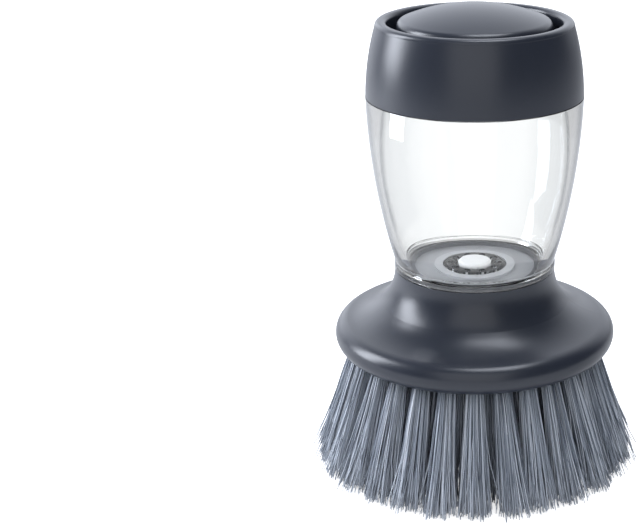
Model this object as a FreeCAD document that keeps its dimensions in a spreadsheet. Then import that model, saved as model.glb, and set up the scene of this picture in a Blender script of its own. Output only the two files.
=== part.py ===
import FreeCAD
import Part
import Sketcher
import math
import os
import re

from FreeCAD import Placement, Rotation, Vector

# A palm-held dish wand: bristle head, clear soap tank, and a cap with a push-button air pump.
# The bristle tips lie on Z = 0 and every piece is centred on the Z axis. Lengths are millimetres.

doc = FreeCAD.newDocument("dish_wand")
sheet = doc.addObject("Spreadsheet::Sheet", "sizes")

# Sizes that can be set by themselves. Angles are degrees.
driving_sizes = {
    # shared
    "overrun": 1.0,
    "soft_gap": 0.05,
    "root_sink": 0.3,
    # tufts
    "bristle_length": 31.5,
    "tuft_root_radius": 2.2,
    "tuft_tip_radius": 3.7,
    "tuft_margin": 1.45,
    "tuft_row_step": 6.3,
    "tuft_splay": 9.2,
    "tuft_splay_step": 1.8,
    "tuft_depth": 3.0,
    "tuft_clearance": 0.05,
    "strand_count": 7,
    "strand_turn": 10.0,
    "outer_tufts": 28,
    "second_tufts": 22,
    "third_tufts": 16,
    "inner_tufts": 10,
    # flat wire anchors in the tufts' folds
    "anchor_thickness": 0.5,
    "anchor_height": 1.3,
    "anchor_clearance": 0.05,
    "fold_thickness": 0.6,
    # bristle plate
    "plate_thickness": 4.0,
    "plate_clearance": 0.15,
    "plate_chamfer": 0.5,
    "snap_height": 0.4,
    "snap_width": 1.2,
    # head shell
    "bead_round": 3.9,
    "bead_circle": 32.6,
    "bead_overhang": 1.0,
    "bead_start_angle": 10.0,
    "lip_inset": 0.7,
    "collar_height": 20.5,
    "collar_radius": 20.7,
    "collar_wall": 2.2,
    "head_wall": 2.4,
    "ledge_width": 2.1,
    "sleeve_wall": 2.4,
    "sleeve_drop": 1.4,
    # bayonet between tank and head
    "lug_count": 3,
    "lug_height": 1.8,
    "lug_reach": 1.3,
    "lug_arc": 30.0,
    "lug_rise": 1.0,
    "lug_gap": 0.95,
    "lug_clearance": 0.3,
    "lug_arc_clearance": 3.0,
    "twist_angle": 45.0,
    # tank
    "tank_gap": 0.2,
    "spigot_clearance": 0.3,
    "foot_overhang": 0.1,
    "foot_height": 1.6,
    "foot_step": 0.3,
    "foot_fillet_width": 1.2,
    "foot_fillet_height": 1.6,
    "barrel_height": 45.0,
    "belly_top_radius": 27.3,
    "belly_bulge": 1.45,
    "tank_wall": 2.3,
    "floor_wall": 1.2,
    "floor_step": 0.8,
    "floor_ledge": 2.2,
    "floor_web": 1.05,
    "neck_wall": 1.6,
    "neck_lead": 0.9,
    "neck_chamfer": 0.4,
    # screw thread of neck and cap
    "thread_pitch": 3.0,
    "thread_turns": 1.25,
    "thread_height": 0.9,
    "thread_start": 1.2,
    "thread_clearance": 0.3,
    # head seal
    "head_seal_wire": 0.75,
    "seal_groove_clearance": 0.1,
    # tank floor and its seal
    "base_recess": 1.3,
    "base_thickness": 1.6,
    "base_clearance": 0.05,
    "base_seal_thickness": 0.6,
    "base_seal_width": 1.4,
    "base_seal_inset": 0.4,
    "floor_ring_width": 0.8,
    "well_radius": 8.9,
    "seat_ledge": 1.2,
    "seat_rise": 0.2,
    "funnel_skirt": 1.9,
    "funnel_wall": 1.5,
    "funnel_height": 4.0,
    "funnel_bore_rise": 0.4,
    "nozzle_radius": 4.0,
    "nozzle_wall": 1.4,
    "nozzle_length": 2.7,
    # outlet valve, its seat and the ring that holds the seat
    "retainer_overlap": 0.5,
    "retainer_width": 2.2,
    "retainer_height": 0.6,
    "seat_thickness": 1.6,
    "seat_crown": 0.7,
    "seat_crown_slope": 0.8,
    "seat_dish_radius": 5.3,
    "seat_dish_slope": 0.6,
    "seat_port_radius": 0.9,
    "seat_port_circle": 6.2,
    "seat_ports": 10,
    "outlet_knob_radius": 4.3,
    "outlet_knob_height": 1.5,
    "outlet_knob_round": 0.5,
    "outlet_skirt_margin": 0.5,
    "outlet_skirt_edge": 0.4,
    "outlet_skirt_depth": 1.2,
    "outlet_stem_radius": 1.6,
    # soap spout
    "spout_bore": 2.2,
    "spout_tube_wall": 1.6,
    "spout_flange": 3.2,
    "spout_flange_thickness": 1.2,
    "spout_barb": 0.7,
    "spout_barb_thickness": 0.85,
    "spout_cup_clearance": 0.3,
    "spout_cup_wall": 1.3,
    "spout_cup_taper": 1.2,
    "spout_cup_gap": 0.2,
    # cap shell
    "cap_gap": 0.2,
    "cap_inset": 0.05,
    "cap_wall": 2.0,
    "cap_lead_in": 0.6,
    "cap_middle_inset": 0.74,
    "cap_shoulder_inset": 2.65,
    "cap_side_height": 17.4,
    "rim_width": 2.9,
    "rim_round": 1.2,
    "web_thickness": 1.6,
    "web_clearance": 0.5,
    "retaining_lip": 0.45,
    "retaining_lip_height": 0.8,
    # cap gasket
    "gasket_thickness": 0.9,
    "gasket_gap": 0.1,
    "gasket_inset": 0.1,
    # pump cylinder and stop ring
    "flange_thickness": 1.4,
    "flange_gap": 0.1,
    "flange_clearance": 0.2,
    "cylinder_gap": 4.35,
    "cylinder_wall": 1.5,
    "cylinder_floor": 1.3,
    "stop_thickness": 1.0,
    "stop_width": 1.55,
    "stop_clearance": 0.2,
    # piston and its seal
    "land_thickness": 2.4,
    "land_clearance": 0.15,
    "land_step": 0.9,
    "piston_wall": 1.5,
    "piston_floor_clearance": 0.4,
    "piston_crown": 1.5,
    "piston_seal_wire": 0.72,
    "piston_seal_clearance": 0.13,
    # push button
    "button_stroke": 5.0,
    "button_gap": 2.4,
    "button_clearance": 0.3,
    "button_wall": 1.8,
    "button_side": 1.0,
    "button_round": 2.0,
    "button_height": 6.4,
    "button_shelf": 1.5,
    "button_shelf_step": 0.6,
    "crown_inset": 0.1,
    "crown_clearance": 0.1,
    # air valves
    "air_stem_radius": 1.4,
    "air_knob_radius": 2.4,
    "air_knob_height": 1.2,
    "air_skirt_radius": 5.4,
    "air_skirt_edge": 0.4,
    "air_skirt_depth": 0.9,
    "air_port_radius": 0.8,
    "air_port_circle": 3.8,
    "air_ports": 6,
    # return spring
    "spring_wire": 0.6,
    "spring_turns": 5.5,
    "spring_side_gap": 2.6,
}

# Sizes and heights that follow from the ones above, from the bristle tips upwards.
following_sizes = {
    "plate_under": "bristle_length",
    "plate_top": "plate_under + plate_thickness",
    "lip_radius": "bead_circle + lip_inset",
    "plate_radius": "lip_radius - plate_clearance",
    "outer_root_circle": "plate_radius - tuft_margin - tuft_root_radius",
    "tuft_hole_radius": "tuft_root_radius + tuft_clearance",
    "bead_middle": "plate_under - bead_overhang + bead_round",
    "collar_top": "plate_under + collar_height",
    "socket_radius": "collar_radius - collar_wall",
    "spigot_radius": "socket_radius - spigot_clearance",
    "lug_radius": "spigot_radius + lug_reach",
    "tank_shoulder": "collar_top + tank_gap",
    "floor_radius": "spigot_radius - floor_wall",
    "spigot_bore": "floor_radius - floor_ledge",
    "floor_edge": "tank_shoulder + floor_step",
    "base_top": "floor_edge - base_recess",
    "base_under": "base_top - base_thickness",
    "base_radius": "floor_radius - base_clearance",
    "floor_seat": "base_under - base_seal_thickness",
    "seal_groove_half": "head_seal_wire + seal_groove_clearance",
    "seal_middle": "floor_seat - floor_web - seal_groove_half",
    "seal_circle": "socket_radius - seal_groove_clearance - head_seal_wire - soft_gap",
    "lug_top": "seal_middle - seal_groove_half - lug_gap",
    "lug_under": "lug_top - lug_height",
    "spigot_end": "lug_under - lug_rise",
    "sleeve_end": "spigot_end - sleeve_drop",
    "sleeve_radius": "socket_radius + sleeve_wall",
    "foot_radius": "collar_radius + foot_overhang",
    "foot_top": "tank_shoulder + foot_height",
    "fillet_radius": "floor_radius + foot_fillet_width",
    "fillet_top": "floor_edge + foot_fillet_height",
    "barrel_top": "tank_shoulder + barrel_height",
    "belly_middle_radius": "(foot_radius - foot_step + belly_top_radius) / 2 + belly_bulge",
    "cap_base_radius": "belly_top_radius - cap_inset",
    "cap_middle_radius": "cap_base_radius - cap_middle_inset",
    "cap_shoulder_radius": "cap_base_radius - cap_shoulder_inset",
    "opening_radius": "cap_shoulder_radius - rim_width",
    "cap_bore": "cap_base_radius - cap_wall",
    "neck_crest": "cap_bore - thread_clearance",
    "neck_radius": "neck_crest - thread_height",
    "mouth_radius": "neck_radius - neck_wall",
    "thread_rise": "thread_turns * thread_pitch",
    "thread_middle": "barrel_top + thread_start",
    "neck_top": "thread_middle + thread_rise + thread_pitch / 4 + neck_lead",
    "seat_under": "base_under + seat_rise",
    "seat_top": "seat_under + seat_thickness",
    "retainer_bore": "well_radius - retainer_overlap",
    "funnel_bore": "well_radius - seat_ledge",
    "funnel_radius": "funnel_bore + funnel_wall",
    "funnel_shoulder": "base_under - funnel_skirt",
    "funnel_end": "funnel_shoulder - funnel_height",
    "nozzle_bore": "nozzle_radius - nozzle_wall",
    "nozzle_tip": "funnel_end - nozzle_length",
    "spout_radius": "spout_bore + spout_tube_wall",
    "spout_cup_radius": "nozzle_radius + spout_cup_clearance",
    "gasket_under": "neck_top + gasket_gap",
    "flange_under": "gasket_under + gasket_thickness + gasket_gap",
    "flange_top": "flange_under + flange_thickness",
    "web_under": "flange_top + flange_gap",
    "web_top": "web_under + web_thickness",
    "cylinder_radius": "mouth_radius - cylinder_gap",
    "cylinder_bore": "cylinder_radius - cylinder_wall",
    "stop_under": "flange_top - flange_gap - stop_thickness",
    "piston_radius": "cylinder_bore - land_step",
    "piston_bore": "piston_radius - piston_wall",
    "stop_bore": "piston_radius + stop_clearance",
    "land_radius": "cylinder_bore - land_clearance",
    "land_top": "stop_under - stop_clearance",
    "piston_under": "land_top - land_thickness",
    "piston_seal_middle": "piston_under + land_thickness / 2",
    "piston_seal_circle": "cylinder_bore - piston_seal_clearance - piston_seal_wire",
    "piston_groove_half": "piston_seal_wire + soft_gap",
    "chamber_floor": "piston_under - button_stroke - piston_floor_clearance",
    "chamber_under": "chamber_floor - cylinder_floor",
    "button_radius": "opening_radius - button_gap",
    "button_bore": "button_radius - button_wall",
    "button_under": "web_top + button_stroke + button_clearance",
    "button_side_top": "button_under + button_side",
    "button_apex": "button_under + button_height",
    "crown_under": "button_under + crown_inset",
    "crown_top": "crown_under + piston_crown",
    "crown_radius": "button_bore - crown_clearance",
    "air_hole_radius": "air_stem_radius + soft_gap",
    "cap_under": "barrel_top + cap_gap",
    "cap_shoulder": "cap_under + cap_side_height",
    "rim_crest": "cap_shoulder + rim_round",
    "spring_length": "crown_under - chamber_floor - 2 * soft_gap",
    "spring_circle": "piston_bore - spring_side_gap - spring_wire",
}

# Shares of the spans that curved outlines run across, as (across, along).
flare_shares = ((0.069, 0.36), (0.291, 0.665), (0.617, 0.882))
inner_flare_shares = ((0.17, 0.71), (0.61, 0.94))
quarter_round_share = 0.71
strand_valley_share = 0.75
shoulder_shares = ((0.31, 0.95), (0.81, 0.59))
belly_middle_share = 0.5
cavity_middle_share = 0.5
cap_middle_share = 0.5
thread_root_share = 0.5
thread_crest_share = 0.23

# The cap's thread starts half a turn round from the neck's, so that the ridges interleave.
interleave_angle = "180"
quarter_samples = 8

for row, (alias, number) in enumerate(driving_sizes.items(), start=1):
    sheet.set(f"A{row}", alias)
    sheet.set(f"B{row}", str(number))
    sheet.setAlias(f"B{row}", alias)
for row, (alias, formula) in enumerate(following_sizes.items(), start=1):
    sheet.set(f"D{row}", alias)
    sheet.set(f"E{row}", "=" + formula)
    sheet.setAlias(f"E{row}", alias)
doc.recompute()

size_names = set(driving_sizes) | set(following_sizes)
parts = []


def size(formula):
    """The present value of a formula of sheet sizes."""
    return float(sheet.evalExpression(formula))


def linked(formula):
    """The formula with each size read from the sheet."""
    def from_sheet(word):
        name = word.group()
        return "sizes." + name if name in size_names else name

    return re.sub(r"[a-z]\w*", from_sheet, formula)


def bind(target, settings):
    """Tie properties of a document object to sheet formulas."""
    for name, formula in settings.items():
        target.setExpression(name, linked(formula))


def new_body(label):
    body = doc.addObject("PartDesign::Body", label)
    body.Label = label
    parts.append(body)
    return body


def origin_item(body, role):
    return next(item for item in body.Origin.OriginFeatures if item.Role == role)


def via(across, up):
    """A point that an outline's arc passes through."""
    return ("via", across, up)


def dome():
    """Marks an outline's arc as part of a sphere centred on Z."""
    return ("dome",)


def is_corner(point):
    return point[0] not in ("via", "dome")


def new_sketch(body, name, plane):
    sketch = body.newObject("Sketcher::SketchObject", name)
    sketch.AttachmentSupport = (origin_item(body, plane), [""])
    sketch.MapMode = "FlatFace"
    return sketch


def place_point(sketch, geometry, end, across, up):
    """Hold one sketch point at the place that two formulas give."""
    if across == "0":
        sketch.addConstraint(Sketcher.Constraint("PointOnObject", geometry, end, -2))
    else:
        index = sketch.addConstraint(Sketcher.Constraint("DistanceX", -1, 1, geometry, end, size(across)))
        sketch.setExpression(f"Constraints[{index}]", linked(across))
    index = sketch.addConstraint(Sketcher.Constraint("DistanceY", -1, 1, geometry, end, size(up)))
    sketch.setExpression(f"Constraints[{index}]", linked(up))


def dome_middle(start, finish):
    """The middle of the arc between two outline points, about a centre on Z."""
    centre = Vector(0, (finish.dot(finish) - start.dot(start)) / (2 * (finish.y - start.y)), 0)
    radius = (start - centre).Length
    return centre + ((start - centre) + (finish - centre)).normalize() * radius


def section(body, name, points, turn="0"):
    """A closed outline of radius and height in a plane through Z, turned about Z by an angle."""
    sketch = new_sketch(body, name, "XZ_Plane")
    sketch.AttachmentOffset = Placement(Vector(), Rotation(Vector(0, 1, 0), size(turn)))
    corners = [point for point in points if is_corner(point)]
    spots = [Vector(size(across), size(up), 0) for across, up in corners]
    curves = {}
    for place, point in enumerate(points):
        if not is_corner(point):
            curves[sum(is_corner(other) for other in points[:place]) - 1] = point
    ends = []
    for number, start in enumerate(spots):
        finish = spots[(number + 1) % len(spots)]
        curve = curves.get(number)
        if curve is None:
            sketch.addGeometry(Part.LineSegment(start, finish))
            ends.append((1, 2))
            continue
        middle = dome_middle(start, finish)
        if curve[0] == "via":
            middle = Vector(size(curve[1]), size(curve[2]), 0)
        forward = (middle - start).cross(finish - middle).z > 0
        sketch.addGeometry(Part.Arc(start, middle, finish) if forward else Part.Arc(finish, middle, start))
        ends.append((1, 2) if forward else (2, 1))
    for number in range(len(spots)):
        after = (number + 1) % len(spots)
        meeting = (number, ends[number][1], after, ends[after][0])
        sketch.addConstraint(Sketcher.Constraint("Coincident", *meeting))
    for number, (across, up) in enumerate(corners):
        place_point(sketch, number, ends[number][0], across, up)
    for number, curve in curves.items():
        if curve[0] == "dome":
            sketch.addConstraint(Sketcher.Constraint("PointOnObject", number, 3, -2))
            continue
        spot = sketch.addGeometry(Part.Point(Vector(size(curve[1]), size(curve[2]), 0)), True)
        place_point(sketch, spot, 1, curve[1], curve[2])
        sketch.addConstraint(Sketcher.Constraint("PointOnObject", spot, 1, number))
    return sketch


def turned(body, name, points):
    """A full turn of an outline about Z."""
    sketch = section(body, name + "_outline", points)
    feature = body.newObject("PartDesign::Revolution", name)
    feature.Profile = sketch
    feature.ReferenceAxis = (sketch, ["V_Axis"])
    body.Tip = feature
    return feature


def turned_arc(body, name, kind, points, turn, sweep):
    """Part of a turn of an outline about Z, centred on an angle: a Revolution adds, a Groove cuts."""
    sketch = section(body, name + "_outline", points, turn)
    feature = body.newObject("PartDesign::" + kind, name)
    feature.Profile = sketch
    feature.ReferenceAxis = (sketch, ["V_Axis"])
    feature.Midplane = True
    bind(feature, {"Angle": sweep})
    body.Tip = feature
    return feature


def round_copies(body, name, features, count):
    """Features repeated evenly about Z."""
    pattern = body.newObject("PartDesign::PolarPattern", name)
    pattern.Originals = features
    pattern.Axis = (origin_item(body, "Z_Axis"), [""])
    bind(pattern, {"Occurrences": count})
    body.Tip = pattern
    return pattern


def level_circle(body, name, centre, radius, height):
    """A circle in a level plane, with its centre on the X axis."""
    sketch = new_sketch(body, name, "XY_Plane")
    bind(sketch, {"AttachmentOffset.Base.z": height})
    sketch.addGeometry(Part.Circle(Vector(size(centre), 0, 0), Vector(0, 0, 1), size(radius)))
    sketch.addConstraint(Sketcher.Constraint("PointOnObject", 0, 3, -1))
    for kind, items, formula in (("DistanceX", (-1, 1, 0, 3), centre), ("Radius", (0,), radius)):
        index = sketch.addConstraint(Sketcher.Constraint(kind, *items, size(formula)))
        sketch.setExpression(f"Constraints[{index}]", linked(formula))
    return sketch


def level_strands(body, name, centre, radius, height):
    """A ring of round strands in a level plane, as one fluted outline with its middle on the X axis."""
    sketch = new_sketch(body, name, "XY_Plane")
    bind(sketch, {"AttachmentOffset.Base.z": height})
    count = round(size("strand_count"))

    def around(half_steps, reach):
        angle = f"(strand_turn + {half_steps} * 180 / strand_count)"
        return f"{centre} + {reach} * cos{angle}", f"{reach} * sin{angle}"

    valleys = [around(2 * number, f"{strand_valley_share} * {radius}") for number in range(count)]
    crests = [around(2 * number + 1, radius) for number in range(count)]
    low = [Vector(size(across), size(up), 0) for across, up in valleys]
    high = [Vector(size(across), size(up), 0) for across, up in crests]
    for number in range(count):
        sketch.addGeometry(Part.Arc(low[number], high[number], low[(number + 1) % count]))
    for number in range(count):
        sketch.addConstraint(Sketcher.Constraint("Coincident", number, 2, (number + 1) % count, 1))
        place_point(sketch, number, 1, *valleys[number])
        spot = sketch.addGeometry(Part.Point(high[number]), True)
        place_point(sketch, spot, 1, *crests[number])
        sketch.addConstraint(Sketcher.Constraint("PointOnObject", spot, 1, number))
    return sketch


def level_bar(body, name, centre, thickness, length, height):
    """A bar across the X axis in a level plane, with its middle on the axis."""
    sketch = new_sketch(body, name, "XY_Plane")
    bind(sketch, {"AttachmentOffset.Base.z": height})
    half = size(length) / 2
    inner = size(centre) - size(thickness) / 2
    outer = size(centre) + size(thickness) / 2
    spots = [Vector(inner, -half, 0), Vector(outer, -half, 0), Vector(outer, half, 0), Vector(inner, half, 0)]
    for number in range(4):
        sketch.addGeometry(Part.LineSegment(spots[number], spots[(number + 1) % 4]))
    for number in range(4):
        sketch.addConstraint(Sketcher.Constraint("Coincident", number, 2, (number + 1) % 4, 1))
    for number, kind in enumerate(("Horizontal", "Vertical", "Horizontal", "Vertical")):
        sketch.addConstraint(Sketcher.Constraint(kind, number))
    near_side = f"({centre}) - ({thickness}) / 2"
    for kind, items, formula in (
        ("DistanceX", (-1, 1, 0, 1), near_side),
        ("DistanceX", (0, 1, 0, 2), thickness),
        ("DistanceY", (0, 1, -1, 1), f"({length}) / 2"),
        ("DistanceY", (1, 1, 1, 2), length),
    ):
        index = sketch.addConstraint(Sketcher.Constraint(kind, *items, size(formula)))
        sketch.setExpression(f"Constraints[{index}]", linked(formula))
    return sketch


def port_holes(body, name, circle, radius, top, depth, count):
    """A ring of round holes cut downwards from a level plane."""
    pocket = body.newObject("PartDesign::Pocket", name)
    pocket.Profile = level_circle(body, name + "_outline", circle, radius, top)
    bind(pocket, {"Length": depth})
    body.Tip = pocket
    return round_copies(body, name + "_ring", [pocket], count)


def ring_seal(label, circle, wire, height):
    """A round seal ring."""
    seal = doc.addObject("Part::Torus", label)
    seal.Label = label
    bind(seal, {"Radius1": circle, "Radius2": wire, "Placement.Base.z": height})
    parts.append(seal)
    return seal


def flat_ring(label, inner, outer, under, top):
    """A washer-shaped ring."""
    body = new_body(label)
    turned(body, label + "_ring", [(inner, under), (outer, under), (outer, top), (inner, top)])
    return body


# Tufts stand in level circles. Each row leans outwards, the outer one most.
tuft_rows = {"outer": 0, "second": 1, "third": 2, "inner": 3}


def row_centre(row, height):
    """Distance of a row's tuft centres from the Z axis at a height above the tips."""
    root = f"(outer_root_circle - {row} * tuft_row_step)"
    splay = f"(tuft_splay - {row} * tuft_splay_step)"
    return f"{root} + {splay} * (plate_under - ({height})) / bristle_length"


anchor_top = "plate_under + tuft_depth - fold_thickness"
anchor_under = anchor_top + " - anchor_height"
anchor_length = "2 * tuft_root_radius"


def make_tufts(name, row):
    """One row of tufts: bundles of strands, straight in the plate, that widen to a level trim at the tips."""
    body = new_body("tufts_" + name)
    root_top = "plate_under + tuft_depth"
    sketches = [
        level_strands(body, "root_top", row_centre(row, root_top), "tuft_root_radius", root_top),
        level_strands(body, "root_mouth", row_centre(row, "plate_under"), "tuft_root_radius", "plate_under"),
        level_strands(body, "tips", row_centre(row, "0"), "tuft_tip_radius", "0"),
    ]
    tuft = body.newObject("PartDesign::AdditiveLoft", "tuft")
    tuft.Profile = sketches[0]
    tuft.Sections = sketches[1:]
    tuft.Ruled = True
    slot = body.newObject("PartDesign::Pocket", "anchor_slot")
    slot.Profile = level_bar(
        body,
        "anchor_slot_outline",
        row_centre(row, anchor_under),
        "anchor_thickness + 2 * anchor_clearance",
        "2 * (tuft_root_radius + overrun)",
        anchor_top + " + anchor_clearance",
    )
    bind(slot, {"Length": "anchor_height + 2 * anchor_clearance"})
    round_copies(body, "tuft_ring", [tuft, slot], name + "_tufts")


def make_anchors(name, row):
    """The flat wire pieces that a row of tufts is folded over."""
    body = new_body("anchors_" + name)
    anchor = body.newObject("PartDesign::Pad", "anchor")
    anchor.Profile = level_bar(
        body,
        "anchor_outline",
        row_centre(row, anchor_under),
        "anchor_thickness",
        anchor_length,
        anchor_under,
    )
    bind(anchor, {"Length": "anchor_height"})
    round_copies(body, "anchor_ring", [anchor], name + "_tufts")


def make_bristle_plate():
    """The disc that holds the tufts, with a snap ridge round its edge and a hole for the spout."""
    body = new_body("bristle_plate")
    hole = "spout_radius + soft_gap"
    ridge_middle = "(plate_under + plate_thickness / 2)"
    turned(body, "disc", [
        (hole, "plate_under"),
        ("plate_radius - plate_chamfer", "plate_under"),
        ("plate_radius", "plate_under + plate_chamfer"),
        ("plate_radius", ridge_middle + " - snap_width / 2"),
        ("plate_radius + snap_height", ridge_middle),
        ("plate_radius", ridge_middle + " + snap_width / 2"),
        ("plate_radius", "plate_top"),
        (hole, "plate_top"),
    ])
    mouth = "plate_under - overrun"
    hole_end = "plate_under + tuft_depth + tuft_clearance"
    for name, row in tuft_rows.items():
        tuft_hole = body.newObject("PartDesign::SubtractiveLoft", "hole_" + name)
        ends = [
            level_circle(body, end + name, row_centre(row, height), "tuft_hole_radius", height)
            for end, height in (("mouth_", mouth), ("end_", hole_end))
        ]
        tuft_hole.Profile = ends[0]
        tuft_hole.Sections = ends[1:]
        tuft_hole.Ruled = True
        body.Tip = tuft_hole
        round_copies(body, "holes_" + name, [tuft_hole], name + "_tufts")


def make_head_shell():
    """The flared head: a collar with bayonet channels, a hollow flare and a rolled bead."""
    body = new_body("head_shell")
    flare_end = ("(bead_circle + bead_round * sin(bead_start_angle))",
                 "(bead_middle + bead_round * cos(bead_start_angle))")

    def flare(shares):
        across = f"collar_radius + {shares[0]} * ({flare_end[0]} - collar_radius)"
        up = f"collar_top - {shares[1]} * (collar_top - {flare_end[1]})"
        return across, up

    ledge = "plate_top + plate_clearance"
    ledge_radius = "(lip_radius - ledge_width)"

    def inner_flare(number):
        shares = inner_flare_shares[number]
        across = f"sleeve_radius + {shares[0]} * ({ledge_radius} - sleeve_radius)"
        up = f"{flare(flare_shares[number + 1])[1]} - {shares[1]} * head_wall"
        return across, up

    groove_middle = "(plate_under + plate_thickness / 2)"
    groove_half = "(snap_width / 2 + plate_clearance)"
    turned(body, "shell", [
        ("socket_radius", "collar_top"),
        ("collar_radius", "collar_top"),
        via(*flare(flare_shares[0])),
        flare(flare_shares[1]),
        via(*flare(flare_shares[2])),
        flare_end,
        via("bead_circle + bead_round", "bead_middle"),
        ("lip_radius", "bead_middle - sqrt(bead_round ^ 2 - lip_inset ^ 2)"),
        ("lip_radius", f"{groove_middle} - {groove_half}"),
        ("lip_radius + snap_height", groove_middle),
        ("lip_radius", f"{groove_middle} + {groove_half}"),
        ("lip_radius", ledge),
        (ledge_radius, ledge),
        inner_flare(1),
        via(*inner_flare(0)),
        ("sleeve_radius", flare(flare_shares[1])[1]),
        ("sleeve_radius", "sleeve_end"),
        ("socket_radius", "sleeve_end"),
    ])
    channel_radius = "lug_radius + lug_clearance"
    channel_top = "lug_top + lug_clearance"
    channel_under = "lug_under - lug_clearance"
    slot_arc = "lug_arc + 2 * lug_arc_clearance"
    inside = "socket_radius - overrun"
    entry = turned_arc(body, "entry_slot", "Groove", [
        (inside, channel_under),
        (channel_radius, channel_under),
        (channel_radius, "collar_top + overrun"),
        (inside, "collar_top + overrun"),
    ], "twist_angle", slot_arc)
    round_copies(body, "entry_slots", [entry], "lug_count")
    channel = turned_arc(body, "lock_channel", "Groove", [
        (inside, channel_under),
        (channel_radius, channel_under),
        (channel_radius, channel_top),
        (inside, channel_top),
    ], "twist_angle / 2", slot_arc + " + twist_angle")
    round_copies(body, "lock_channels", [channel], "lug_count")


def thread_ridge(body, name, root, crest, turn):
    """One helical thread ridge, from its root radius to its crest radius."""
    half_root = f"thread_pitch * {thread_root_share} / 2"
    half_crest = f"thread_pitch * {thread_crest_share} / 2"
    sketch = section(body, name + "_outline", [
        (root, "thread_middle - " + half_root),
        (crest, "thread_middle - " + half_crest),
        (crest, "thread_middle + " + half_crest),
        (root, "thread_middle + " + half_root),
    ], turn)
    ridge = body.newObject("PartDesign::AdditiveHelix", name)
    ridge.Profile = sketch
    ridge.ReferenceAxis = (sketch, ["V_Axis"])
    ridge.Mode = "pitch-height-angle"
    bind(ridge, {"Pitch": "thread_pitch", "Height": "thread_rise"})
    body.Tip = ridge
    return ridge


def make_reservoir():
    """The clear tank: a spigot with lugs and a seal groove, a stepped foot, a barrel and a threaded neck."""
    body = new_body("reservoir")
    belly_middle = f"foot_top + {belly_middle_share} * (barrel_top - foot_top)"
    cavity_middle = f"fillet_top + {cavity_middle_share} * (barrel_top - fillet_top)"
    fillet = (f"floor_radius + {quarter_round_share} * foot_fillet_width",
              f"floor_edge + (1 - {quarter_round_share}) * foot_fillet_height")
    groove_radius = "seal_circle - head_seal_wire - soft_gap"
    turned(body, "tank", [
        ("spigot_bore", "spigot_end"),
        ("spigot_radius", "spigot_end"),
        ("spigot_radius", "seal_middle - seal_groove_half"),
        (groove_radius, "seal_middle - seal_groove_half"),
        (groove_radius, "seal_middle + seal_groove_half"),
        ("spigot_radius", "seal_middle + seal_groove_half"),
        ("spigot_radius", "tank_shoulder"),
        ("foot_radius", "tank_shoulder"),
        ("foot_radius", "foot_top - foot_step"),
        ("foot_radius - foot_step", "foot_top"),
        via("belly_middle_radius", belly_middle),
        ("belly_top_radius", "barrel_top"),
        ("neck_radius", "barrel_top"),
        ("neck_radius", "neck_top - neck_chamfer"),
        ("neck_radius - neck_chamfer", "neck_top"),
        ("mouth_radius", "neck_top"),
        ("mouth_radius", "barrel_top"),
        via("belly_middle_radius - tank_wall", cavity_middle),
        ("fillet_radius", "fillet_top"),
        via(*fillet),
        ("floor_radius", "floor_edge"),
        ("floor_radius", "floor_seat"),
        ("spigot_bore", "floor_seat"),
    ])
    lug = turned_arc(body, "lug", "Revolution", [
        ("spigot_radius - root_sink", "lug_under"),
        ("lug_radius", "lug_under"),
        ("lug_radius", "lug_top"),
        ("spigot_radius - root_sink", "lug_top"),
    ], "0", "lug_arc")
    round_copies(body, "lugs", [lug], "lug_count")
    thread_ridge(body, "neck_thread", "neck_radius - root_sink", "neck_crest", "0")


def make_base_plate():
    """The tank floor: a disc with a valve well, and a funnel with a nozzle below."""
    body = new_body("base_plate")
    turned(body, "floor", [
        ("nozzle_bore", "nozzle_tip"),
        ("nozzle_radius", "nozzle_tip"),
        ("nozzle_radius", "funnel_end"),
        ("funnel_radius", "funnel_shoulder"),
        ("funnel_radius", "base_under"),
        ("base_radius", "base_under"),
        ("base_radius", "base_top"),
        ("well_radius", "base_top"),
        ("well_radius", "seat_under"),
        ("funnel_bore", "seat_under"),
        ("funnel_bore", "funnel_shoulder + funnel_bore_rise"),
        ("nozzle_bore", "funnel_end + funnel_bore_rise"),
    ])


def make_valve_seat():
    """The clear seat of the outlet valve: a dished disc with a ring of ports."""
    body = new_body("valve_seat")
    edge = "well_radius - soft_gap"
    boss = "retainer_bore - soft_gap"
    crown = "seat_top + seat_crown"
    stem_hole = "outlet_stem_radius + soft_gap"
    turned(body, "seat", [
        (stem_hole, "seat_under"),
        (edge, "seat_under"),
        (edge, "base_top"),
        (boss, "base_top"),
        (boss, "seat_top"),
        (boss + " - seat_crown_slope", crown),
        ("seat_dish_radius", crown),
        ("seat_dish_radius - seat_dish_slope", "seat_top"),
        (stem_hole, "seat_top"),
    ])
    start = crown + " + overrun"
    depth = "seat_thickness + seat_crown + 2 * overrun"
    port_holes(body, "port", "seat_port_circle", "seat_port_radius", start, depth, "seat_ports")


def make_outlet_valve():
    """The white silicone valve: a knob above the seat, a stem, and a skirt that closes the ports."""
    body = new_body("outlet_valve")
    top = "seat_top + outlet_knob_height"
    skirt_radius = "funnel_bore - outlet_skirt_margin"
    skirt_under = "seat_under - outlet_skirt_depth"
    turned(body, "valve", [
        ("0", top),
        ("0", skirt_under),
        ("outlet_stem_radius", skirt_under),
        (skirt_radius, "seat_under - outlet_skirt_edge"),
        (skirt_radius, "seat_under"),
        ("outlet_stem_radius", "seat_under"),
        ("outlet_stem_radius", "seat_top"),
        ("outlet_knob_radius", "seat_top"),
        ("outlet_knob_radius", top + " - outlet_knob_round"),
        ("outlet_knob_radius - outlet_knob_round", top),
    ])


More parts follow.
